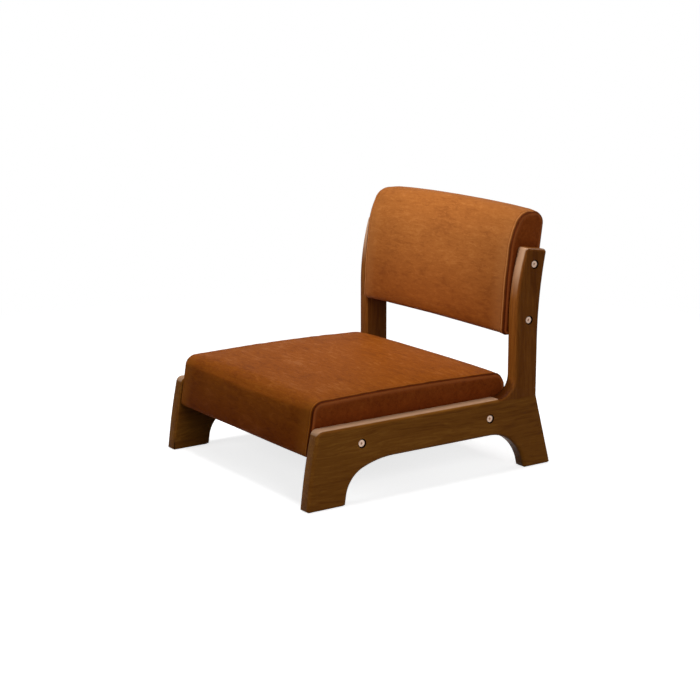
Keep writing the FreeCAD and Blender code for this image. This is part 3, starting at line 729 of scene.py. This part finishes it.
# The cover beside a seam: distance from it, sink in seam depths, rise in roll heights, and how
# much shade is painted there, where less than none is a painted highlight
COVER_ROLL = [(0.0, -1.0, 0.0, 1.0), (0.0012, -0.5, 0.2, 1.0), (0.0024, -0.25, 0.7, 0.5),
              (0.0042, -0.1, 1.0, -0.5), (0.0060, 0.0, 0.25, -0.1), (0.0072, 0.0, -0.45, 0.25),
              (0.0086, 0.0, 0.2, 0.0), (0.0110, 0.0, 0.3, 0.0), (0.0150, 0.0, 0.0, 0.0)]
# The same for an end panel, measured inwards from its outline: distance, panel rises, painted
# shade, where less than none is a painted highlight
PANEL_ROLL = [(0.0010, 0.55, 1.0), (0.0020, 1.0, 0.35), (0.0034, 1.25, -1.0), (0.0058, 1.3, -0.5),
              (0.0090, 1.2, 0.0)]
# How much wider an end panel's mesh is than the wrap's, and how far in its swell is full
PANEL_MESH = 1.5
SWELL_REACH = 0.030
# How far from the timber an end panel swells freely, the share of that over which it doesn't
# swell at all, and how much shade is painted on it where it lies close to the timber
FREE_REACH = 0.016
HELD_SHARE = 0.4
TIMBER_CONTACT_SHADE = 0.45
# How far in from its seams a highlight is painted on a cushion's front corners, and how strong it
# is
CORNER_REACH = 0.040
CORNER_HIGHLIGHT = {"seat": 0.75, "back": 0.30}


def roll_height(distance, settings):
    """Work out how far the cover stands out beside the seam."""
    for (near, sink, rise, _), (far, next_sink, next_rise, _) in zip(COVER_ROLL, COVER_ROLL[1:]):
        if distance <= far:
            part = (distance - near) / (far - near)
            sunk = sink + (next_sink - sink) * part
            risen = rise + (next_rise - rise) * part
            return sunk * settings.seam_sink + risen * settings.ridge
    return 0.0


def sewn_block(outline, seam, settings):
    """Make the cushion before it is filled: a straight wrap with a flat panel at each end."""
    mesh = bmesh.new()
    for end in (-seam, seam):
        mesh.faces.new([mesh.verts.new((end, y, z)) for y, z in outline])
    for edge in list(mesh.edges):
        cuts = int(edge.calc_length() / settings.mesh_step)
        if cuts:
            bmesh.ops.subdivide_edges(mesh, edges=[edge], cuts=cuts)
    bmesh.ops.bridge_loops(mesh, edges=mesh.edges[:])
    bmesh.ops.recalc_face_normals(mesh, faces=mesh.faces)
    count = math.ceil(seam / settings.mesh_step)
    inner = seam - COVER_ROLL[-1][0]
    stations = [inner * step / count for step in range(count)]
    stations += [seam - distance for distance, *_ in COVER_ROLL[1:]]
    for station in sorted({x for step in stations for x in (step, -step)}):
        everything = mesh.verts[:] + mesh.edges[:] + mesh.faces[:]
        bmesh.ops.bisect_plane(mesh, geom=everything, dist=WELD, plane_co=(station, 0, 0),
                               plane_no=(1, 0, 0))
    return mesh


def crown_to(mesh, seam, cover, reach=0.02):
    """Push the wrap out to the crowned surface of the construction model's cover."""
    surface = surface_of(cover)
    mesh.normal_update()
    for vert in mesh.verts:
        if seam - abs(vert.co.x) < WELD:
            continue
        out = Vector((0, vert.normal.y, vert.normal.z)).normalized()
        hit = surface.ray_cast(vert.co + out * reach, -out, 2 * reach)[0]
        if hit is not None:
            vert.co = hit


def shade_seams(mesh, seam, corner_highlight):
    """Note the shade and highlights painted beside the seams, and the highlight painted on the
    front corners.
    """
    shade = mesh.verts.layers.float.new("seam")
    for vert in mesh.verts:
        for distance, _, _, dark in COVER_ROLL:
            if abs(seam - distance - abs(vert.co.x)) < WELD:
                vert[shade] = dark
    # Painted highlight on the front corners, strongest where the seams meet the front
    front = min(vert.co.y for vert in mesh.verts)
    for vert in mesh.verts:
        inward = (seam - abs(vert.co.x)) / CORNER_REACH
        behind = (vert.co.y - front) / CORNER_REACH
        if COVER_ROLL[2][0] / CORNER_REACH < inward < 1 and behind < 1:
            vert[shade] -= corner_highlight * (1 - inward) * (1 - behind)
    return shade


def cut_up(mesh, panel, step):
    """Cut a panel into about square pieces of a given size, and give their vertices."""
    places = [vert.co.copy() for vert in panel.verts]
    pieces = [panel]
    for axis in (Vector((0, 1, 0)), Vector((0, 0, 1))):
        along = [place.dot(axis) for place in places]
        low, high = min(along), max(along)
        count = int((high - low) / step)
        for cut in range(1, count):
            edges = dict.fromkeys(edge for face in pieces for edge in face.edges)
            verts = dict.fromkeys(vert for face in pieces for vert in face.verts)
            made = bmesh.ops.bisect_plane(
                mesh, geom=[*verts, *edges, *pieces], dist=WELD,
                plane_co=axis * (low + (high - low) * cut / count), plane_no=axis)
            pieces = [item for item in made["geom"] if isinstance(item, bmesh.types.BMFace)]
    return dict.fromkeys(vert for face in pieces for vert in face.verts)


def raise_panels(mesh, seam, shade, timber_near, settings):
    """Step each end panel out from its seam over a roll, and let its middle swell."""
    ends = [face for face in mesh.faces if all(seam - abs(v.co.x) < WELD for v in face.verts)]
    for panel in ends:
        rim = KDTree(len(panel.verts))
        for index, vert in enumerate(panel.verts):
            rim.insert(vert.co, index)
        rim.balance()
        at, height = 0.0, 0.0
        for distance, rise, dark in PANEL_ROLL:
            bmesh.ops.inset_region(
                mesh, faces=[panel], thickness=distance - at,
                depth=(rise - height) * settings.panel_rise, use_even_offset=True)
            at, height = distance, rise
            # Painted shade and highlight on the panel's roll
            for vert in panel.verts:
                vert[shade] = dark
        for vert in cut_up(mesh, panel, settings.mesh_step * PANEL_MESH):
            inward = min(1.0, rim.find(vert.co)[2] / SWELL_REACH)
            gap = timber_near.find_nearest(vert.co)[3] / FREE_REACH
            free = min(1.0, max(0.0, gap - HELD_SHARE))
            # Painted shade where the panel lies close to the timber
            vert[shade] += TIMBER_CONTACT_SHADE * max(0.0, 1 - gap)
            vert.co.x += math.copysign(settings.panel_swell * free * inward * (2 - inward),
                                       vert.co.x)


def held_places(mesh, seam, timber_near, reach=0.008):
    """Find the vertices that the filling can't push: seams, underside and what timber backs."""
    low = min(vert.co.z for vert in mesh.verts)
    held = []
    for vert in mesh.verts:
        at_end = abs(vert.co.x) > seam - COVER_ROLL[-2][0]
        backed = timber_near.find_nearest(vert.co, reach)[0] is not None
        if at_end and (backed or abs(vert.co.x) < seam + WELD) or vert.co.z - low < WELD:
            held.append(vert.index)
    return held


# How a cover behaves as cloth, and the frames over which the filling presses it out
COVER_CLOTH = {"quality": 4, "mass": 0.4, "tension_stiffness": 40, "compression_stiffness": 40,
               "bending_stiffness": 8, "use_pressure": True}
FILL_FRAMES = 20


def fill(piece, held, settings):
    """Let the filling press the cover out, and keep the push small and smooth."""
    scene = bpy.context.scene
    group = piece.vertex_groups.new(name="held")
    group.add(held, 1.0, "REPLACE")
    cover = piece.modifiers.new("filling", "CLOTH")
    set_all(cover.settings, COVER_CLOTH)
    cover.settings.uniform_pressure_force = settings.pressure
    cover.settings.vertex_group_mass = group.name
    cover.settings.effector_weights.gravity = 0
    cover.point_cache.frame_start = 1
    cover.point_cache.frame_end = FILL_FRAMES
    for step in range(1, FILL_FRAMES + 1):
        scene.frame_set(step)
    filled = piece.evaluated_get(bpy.context.evaluated_depsgraph_get())
    pressed = filled.to_mesh()
    moves = [pressed.vertices[v.index].co - v.co for v in piece.data.vertices]
    normals = [v.normal.copy() for v in piece.data.vertices]
    filled.to_mesh_clear()
    piece.modifiers.remove(cover)
    piece.vertex_groups.remove(group)
    scene.frame_set(1)
    most = settings.swell
    for vert, move, normal in zip(piece.data.vertices, moves, normals):
        push = move.dot(normal)
        vert.co += normal * most * math.tanh(push / most)


# Puckers in a metre along X, Y and Z, and where they are full and end, away from the seam
PUCKERS = Vector((40, 90, 90))
PUCKER_START = 0.002
PUCKER_REACH = 0.045


def press_seams(piece, seam, settings):
    """Sink the seams and raise the rolls beside them, puckered as sewn leather is."""
    piece.data.update()
    normals = [vert.normal.copy() for vert in piece.data.vertices]
    for vert, normal in zip(piece.data.vertices, normals):
        inward = seam - abs(vert.co.x)
        if -WELD < inward < PUCKER_REACH:
            out = Vector((0, normal.y, normal.z)).normalized()
            pucker = noise.noise(vert.co * PUCKERS) * settings.pucker
            fade = (1 - inward / PUCKER_REACH) * min(1.0, inward / PUCKER_START)
            vert.co += out * (roll_height(max(inward, 0.0), settings) + pucker * fade)


def cushion(name, part, fill_share):
    """Make one cushion, from its seam outline to its pressed seams."""
    scene = bpy.context.scene
    settings = scene.chair_cushions
    cover, panel = f"{part}_cover", f"{part}_left_side_panel"
    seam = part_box(cover)[1].x
    timber_near = surface_of(*(f"{side}_{board}" for side in SIDES for board in TIMBER_HIGHLIGHT))
    mesh = sewn_block(seam_outline(panel), seam, settings)
    crown_to(mesh, seam, cover)
    raise_panels(mesh, seam, shade_seams(mesh, seam, CORNER_HIGHLIGHT[part]), timber_near, settings)
    bmesh.ops.recalc_face_normals(mesh, faces=mesh.faces)
    for face in mesh.faces:
        face.material_index = int(abs(face.calc_center_median().x) > seam)
    mesh.verts.index_update()
    held = held_places(mesh, seam, timber_near)
    low, high = (corner.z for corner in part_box(cover))
    hides = scene.chair_leather
    mottle = {"seat": hides.mottle, "back": hides.back_mottle}[part]
    wrap = leather(f"{part}_wrap_leather", hides, part, mottle, low, high)
    # The end panels take the leather's redder colour, which is painted shade
    ends = leather(f"{part}_end_leather", hides, "ends", hides.mottle, low, high)
    piece = add_piece(name, mesh, [wrap, ends])
    fill(piece, held, settings)
    press_seams(piece, seam, settings)
    rounding = piece.modifiers.new("rounding", "SUBSURF")
    rounding.levels = rounding.render_levels = 1
    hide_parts(cover, f"{part}_foam", panel, f"{part}_right_side_panel")
    return piece


# A stitch is let down on the leather from this far out, and at most twice as far
STITCH_REACH = 0.02


def stitching(name, piece, part, thread):
    """Lay rows of stitches on both sides of each seam of a cushion."""
    settings = bpy.context.scene.chair_cushions
    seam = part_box(f"{part}_cover")[1].x
    outline = [Vector((0, y, z)) for y, z in seam_outline(f"{part}_left_side_panel")]
    surface = BVHTree.FromObject(piece, bpy.context.evaluated_depsgraph_get())
    pitch = settings.stitch_length + settings.stitch_gap
    middle = sum(outline, Vector()) / len(outline)
    stitches = []
    for spot, tangent, out in stitch_places(outline, pitch, middle):
        for sign in SIDES.values():
            end = Vector((sign, 0, 0))
            on_wrap = spot + end * (seam - settings.stitch_line) + out * STITCH_REACH
            on_panel = spot - out * settings.stitch_line + end * (seam + STITCH_REACH)
            for start, line in ((on_wrap, -out), (on_panel, -end)):
                hit, normal, _, _ = surface.ray_cast(start, line, 2 * STITCH_REACH)
                if hit is not None:
                    stitches.append(lying_along(hit, normal, tangent))
    return add_piece(name, repeated(one_stitch(settings), stitches), [thread])


def stitch_places(outline, pitch, middle):
    """Step round the outline by one stitch at a time, with its direction and outward side."""
    spare = 0.0
    for start, end in zip(outline, outline[1:] + outline[:1]):
        run = end - start
        tangent = run.normalized()
        out = Vector((0, tangent.z, -tangent.y))
        if out.dot(start - middle) < 0:
            out = -out
        at = spare
        while at < run.length:
            yield start + tangent * at, tangent, out
            at += pitch
        spare = at - run.length


def lying_along(spot, normal, tangent):
    """Bring local Z to the tangent and local Y to the normal, at a spot."""
    side = normal.cross(tangent).normalized()
    along = side.cross(normal).normalized()
    return Matrix.Translation(spot) @ Matrix((side, normal, along)).transposed().to_4x4()


def one_stitch(settings):
    """Make one stitch along local Z, half sunk in the leather."""
    radius = settings.thread_size / 2
    size = Matrix.Diagonal((radius, radius, settings.stitch_length / 2, 1.0))
    stitch = bmesh.new()
    bmesh.ops.create_uvsphere(stitch, u_segments=6, v_segments=5, radius=1.0, matrix=size)
    return stitch


def repeated(shape, places, batch_size=50):
    """Copy a small shape to many places, joined in batches to save time."""
    carrier = bpy.data.meshes.new("carrier")
    joined = bmesh.new()
    for first in range(0, len(places), batch_size):
        batch = bmesh.new()
        for matrix in places[first:first + batch_size]:
            copy = shape.copy()
            copy.transform(matrix)
            copy.to_mesh(carrier)
            copy.free()
            batch.from_mesh(carrier)
        batch.to_mesh(carrier)
        batch.free()
        joined.from_mesh(carrier)
    bpy.data.meshes.remove(carrier)
    shape.free()
    return joined


# Operators

# How tightly each cushion is filled, from 0, slack, to 1, tight, and the size of a thread's fibre
FILL_SHARE = {"seat": 0.85, "back": 0.8}
THREAD_FIBRE = 0.0004


class CHAIR_OT_cushions(Operator):
    """Build the seat and back cushions with their seams and stitching"""

    bl_idname = "chair.cushions"
    bl_label = "Cushions"

    def execute(self, context):
        thread = cloth("thread", context.scene.chair_leather.thread, THREAD_FIBRE)
        for part, fill_share in FILL_SHARE.items():
            piece = cushion(f"{part}_cushion", part, fill_share)
            stitching(f"{part}_stitching", piece, part, thread)
        return {"FINISHED"}


# Roughness and gloss of the painted shade inside the bolt holes
BORE_SHADE_FINISH = (0.8, 0.0)


class CHAIR_OT_side_frames(Operator):
    """Finish the walnut base boards and uprights"""

    bl_idname = "chair.side_frames"
    bl_label = "Side frames"

    def execute(self, context):
        wood = context.scene.chair_timber
        turns = {"base_board": LENGTHWAYS, "upright": UPWARDS}
        bolted = {"base_board": "seat", "upright": "back"}
        # The inside of the bolt holes is painted dark as shade
        shaded_bores = timber("walnut_bores", wood.bores, wood.figure, wood.band, CROSSWAYS, *BORE_SHADE_FINISH)
        for part, turn in turns.items():
            material = timber(f"walnut_{part}", getattr(wood, part), wood.figure, wood.band, turn,
                              wood.roughness, wood.specular, (part, wood.pale, wood.highlight_amount))
            for side in SIDES:
                node = f"{side}_{part}"
                mesh = welded(node)
                whole_sides(mesh)
                mark_bores(mesh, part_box(node), f"{side}_{bolted[part]}_bolts")
                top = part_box(node)[1].z
                mark_upward(mesh, top - END_GRAIN_REACH if part == "upright" else top)
                polished_copy(mesh, node, f"{side}_walnut_{part}", [material, shaded_bores])
        return {"FINISHED"}


# Metals, with their tint and roughness, and the dowels' tint, figure, band, roughness and gloss
NICKEL = ("nickel_plate", (0.50, 0.35, 0.27), 0.36)
SOCKET_SHADE = ("socket_shade", (0.36, 0.23, 0.16), 0.5)
ZINC = ("zinc_plate", (0.62, 0.63, 0.66), 0.38)
BRASS = ("turned_brass", (0.72, 0.50, 0.20), 0.34)
BEECH = ((0.50, 0.31, 0.16), 0.15, 0.004, UPWARDS, 0.6, 0.3)


class CHAIR_OT_fixings(Operator):
    """Finish the bolts, washers, threaded inserts and dowels"""

    bl_idname = "chair.fixings"
    bl_label = "Fixings"

    def execute(self, context):
        nickel, shade, zinc, brass = (metal(*look) for look in (NICKEL, SOCKET_SHADE, ZINC, BRASS))
        beech = timber("beech", *BEECH)
        for side in SIDES:
            for part in ("seat", "back"):
                mesh = welded(f"{side}_{part}_bolts")
                mark_sockets(mesh)
                polished_copy(mesh, f"{side}_{part}_bolts", f"{side}_{part}_bolt_set",
                              [nickel, shade])
                finish(zinc, f"{side}_{part}_washers")
                finish(brass, f"{side}_{part}_inserts")
            finish(beech, f"{side}_dowels")
        return {"FINISHED"}


# Softwood: tint, figure and width of a band, then roughness and gloss, and which nodes' grain
# runs which way. The boards: tint, figure, width of a band, turn, roughness and gloss.
PINE = ((0.56, 0.40, 0.22), 0.16, 0.005)
PLANED = (0.7, 0.25)
PINE_NODES = {
    "pine_across": (CROSSWAYS, ("seat_front_rail", "seat_rear_rail", "back_top_rail",
                                "back_bottom_rail")),
    "pine_along": (LENGTHWAYS, ("seat_left_rail", "seat_right_rail")),
    "pine_upright": (UPWARDS, ("back_left_stile", "back_right_stile")),
}
BIRCH = ((0.55, 0.42, 0.27), 0.12, 0.009, CROSSWAYS, 0.65, 0.25)


class CHAIR_OT_inner_frames(Operator):
    """Finish the timber and boards inside the cushions"""

    bl_idname = "chair.inner_frames"
    bl_label = "Inner frames"

    def execute(self, context):
        for name, (turn, nodes) in PINE_NODES.items():
            finish(timber(name, *PINE, turn, *PLANED), *nodes)
        finish(timber("birch_board", *BIRCH), "seat_board", "back_front_panel", "back_rear_panel")
        return {"FINISHED"}


# Cloths, with their tint and the size of their fibres
FELT = ("dark_felt", (0.022, 0.014, 0.008), 0.0006)
DUST_CLOTH = ("black_non_woven", (0.012, 0.012, 0.012), 0.0011)


class CHAIR_OT_felt_and_dust_cloth(Operator):
    """Finish the felt pads under the feet and the cloth under the seat"""

    bl_idname = "chair.felt_and_dust_cloth"
    bl_label = "Felt and dust cloth"

    def execute(self, context):
        felt = cloth(*FELT)
        for side in SIDES:
            finish(felt, f"{side}_front_foot_pad", f"{side}_rear_foot_pad")
        finish(cloth(*DUST_CLOTH), "seat_dust_cover")
        return {"FINISHED"}


class CHAIR_OT_stage(Operator):
    """Set the camera, the pale floor and the soft studio light"""

    bl_idname = "chair.stage"
    bl_label = "Stage"

    def execute(self, context):
        settings = context.scene.chair_stage
        context.scene.view_settings.view_transform = "Standard"
        place_camera(context.scene, settings)
        lay_floor(settings)
        light_room(context.scene, settings)
        return {"FINISHED"}


# In millimetres
SENSOR_WIDTH = 36.0


def place_camera(scene, settings):
    """Turn the camera to the chair's azimuth, tilt it down from level and roll it."""
    data = bpy.data.cameras.new("photo_view")
    data.sensor_width = SENSOR_WIDTH
    data.lens = settings.lens
    camera = scene.camera = put_in_scene("photo_view", data)
    turn = Matrix.Rotation(settings.azimuth, 4, "Z")
    tilt = Matrix.Rotation(math.pi / 2 - settings.elevation, 4, "X")
    roll = Matrix.Rotation(settings.roll, 4, "Z")
    camera.matrix_world = Matrix.Translation(settings.camera_place) @ turn @ tilt @ roll


def picture_ray(graph):
    """Tell rays that make up the picture, also by way of gloss or glass, from light's own."""
    path = graph.node("ShaderNodeLightPath").outputs
    seen = graph.maths("MAXIMUM", path["Is Camera Ray"], path["Is Glossy Ray"])
    return graph.maths("MAXIMUM", seen, path["Is Transmission Ray"])


# How far the floor reaches each way, how far it lies under the feet, so that the two don't
# flicker, and the distances from the chair's middle over which its shadow fades out
FLOOR_REACH = 12.0
FLOOR_GAP = 0.0001
FLOOR_FADE = (0.45, 1.6)


def floor_paint(settings):
    """A floor that shows white, keeps the chair's shadow and gives little light back."""
    material, graph, shader = new_material("pale_floor")
    seen = picture_ray(graph)
    distance = graph.node("ShaderNodeVectorMath", {0: graph.place()}, operation="LENGTH")
    away = graph.spread(distance.outputs["Value"], *FLOOR_FADE)
    pale = graph.mix(away, settings.floor, (0.0, 0.0, 0.0))
    glow = graph.spread(away, 0.0, 1.0, settings.floor_glow, 1.0)
    graph.fed(shader, {
        "Base Color": graph.mix(seen, settings.floor_bounce, pale),
        "Roughness": 0.9,
        "Specular IOR Level": 0.0,
        "Emission Color": (1.0, 1.0, 1.0),
        "Emission Strength": graph.times(seen, glow)})
    return material


def lay_floor(settings):
    mesh = bmesh.new()
    bmesh.ops.create_grid(mesh, x_segments=1, y_segments=1, size=FLOOR_REACH,
                          matrix=Matrix.Translation((0, 0, -FLOOR_GAP)))
    floor = mesh_object("floor", mesh, [floor_paint(settings)])
    floor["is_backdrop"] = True


# Soft boxes: place, width and power in watts. The first three light the photographed view.
SOFT_BOXES = {
    "ceiling_box": ((-0.10, 0.00, 1.60), 0.9, 15.5),
    "front_box": ((-0.30, -2.20, 1.20), 1.0, 8.4),
    "side_box": ((2.40, -0.40, 1.20), 1.2, 16.4),
    "corner_box": ((1.80, -1.80, 1.40), 1.2, 2.1),
    "far_box": ((-2.20, 0.00, 1.40), 1.2, 2.1),
    "rear_box": ((-0.40, 2.40, 1.10), 1.2, 5.0),
}
SEAT_MIDDLE = (0.0, 0.0, 0.2)
# The spotlight on the backrest
BACK_SPOT = {"place": (-0.70, -1.60, 1.10), "target": (0.0, 0.20, 0.39), "energy": 140.0,
             "spot_size": 0.36, "spot_blend": 1.0, "shadow_soft_size": 0.15}


def light_room(scene, settings):
    """Fill the room with faint even light, show it white to the picture, and hang lamps."""
    world = bpy.data.worlds.new("studio")
    scene.world = world
    world.use_nodes = True
    graph = Graph(world.node_tree)
    world.node_tree.nodes.clear()
    strength = graph.spread(picture_ray(graph), 0.0, 1.0, settings.ambient, 1.0)
    glow = graph.node("ShaderNodeBackground", {"Color": (1.0, 1.0, 1.0), "Strength": strength})
    graph.node("ShaderNodeOutputWorld", {"Surface": glow.outputs[0]})
    for name, (place, width, power) in SOFT_BOXES.items():
        hang_lamp(name, "AREA", place, SEAT_MIDDLE, size=width, energy=power)
    hang_lamp("back_spot", "SPOT", **BACK_SPOT)


def hang_lamp(name, kind, place, target, **settings):
    """Hang a lamp at a place with its -Z axis towards a target."""
    light = bpy.data.lights.new(name, kind)
    set_all(light, settings)
    lamp = put_in_scene(name, light)
    turn = (Vector(target) - Vector(place)).to_track_quat("-Z", "Y")
    lamp.matrix_world = Matrix.Translation(place) @ turn.to_matrix().to_4x4()
    lamp.visible_camera = False


class CHAIR_PT_parts(Panel):
    """Lists the chair's pieces and settings in the 3D view's sidebar"""

    bl_label = "Floor chair"
    bl_space_type = "VIEW_3D"
    bl_region_type = "UI"
    bl_category = "Floor chair"

    def draw(self, context):
        for operator in STEPS:
            self.layout.operator(operator.bl_idname)
        for key, group in SETTINGS.items():
            box = self.layout.box()
            for name in group.__annotations__:
                box.prop(getattr(context.scene, key), name)


STEPS = (
    CHAIR_OT_side_frames,
    CHAIR_OT_cushions,
    CHAIR_OT_fixings,
    CHAIR_OT_inner_frames,
    CHAIR_OT_felt_and_dust_cloth,
    CHAIR_OT_stage,
)
CLASSES = (*SETTINGS.values(), *STEPS, CHAIR_PT_parts)


def register():
    for item in CLASSES:
        bpy.utils.register_class(item)
    for key, group in SETTINGS.items():
        setattr(bpy.types.Scene, key, PointerProperty(type=group))


def unregister():
    for key in SETTINGS:
        delattr(bpy.types.Scene, key)
    for item in reversed(CLASSES):
        bpy.utils.unregister_class(item)


def main():
    register()
    for step in STEPS:
        name = step.bl_idname.split(".")[1]
        getattr(bpy.ops.chair, name)()
    boxes = [[list(corner) for corner in box] for box in (CAD_BOX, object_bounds())]


if __name__ == "__main__":
    main()
